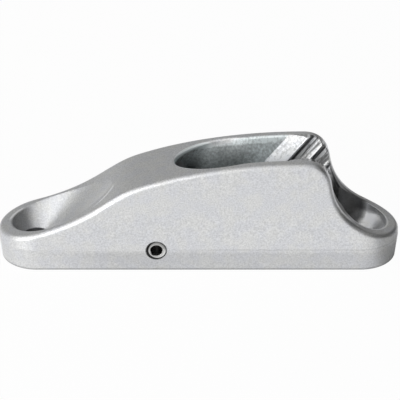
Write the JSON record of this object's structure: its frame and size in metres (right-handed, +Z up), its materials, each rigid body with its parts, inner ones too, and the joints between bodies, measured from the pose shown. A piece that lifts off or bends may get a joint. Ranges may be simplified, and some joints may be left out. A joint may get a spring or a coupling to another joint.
{
  "type": "jam cleat",
  "caption": "Jam cleat cast in one piece: toothed V channel for rope, screw lug at each end, rope passage from below and a hollow cross pin that turns the rope.",
  "frame": {"origin": "middle of the underside, half-way between the ends and the sides", "axes": "+X along the cleat from the loaded end to the tail end where the channel opens, +Y across it, +Z up from the face that is screwed down"},
  "size_m": [0.082, 0.0156, 0.0248],
  "materials": {
    "cast_aluminium": "satin anodised",
    "stainless_pin": "polished stainless"
  },
  "bodies": {
    "root": {"cleat_body": "cast_aluminium", "cross_pin": "stainless_pin"}
  },
  "joints": []
}
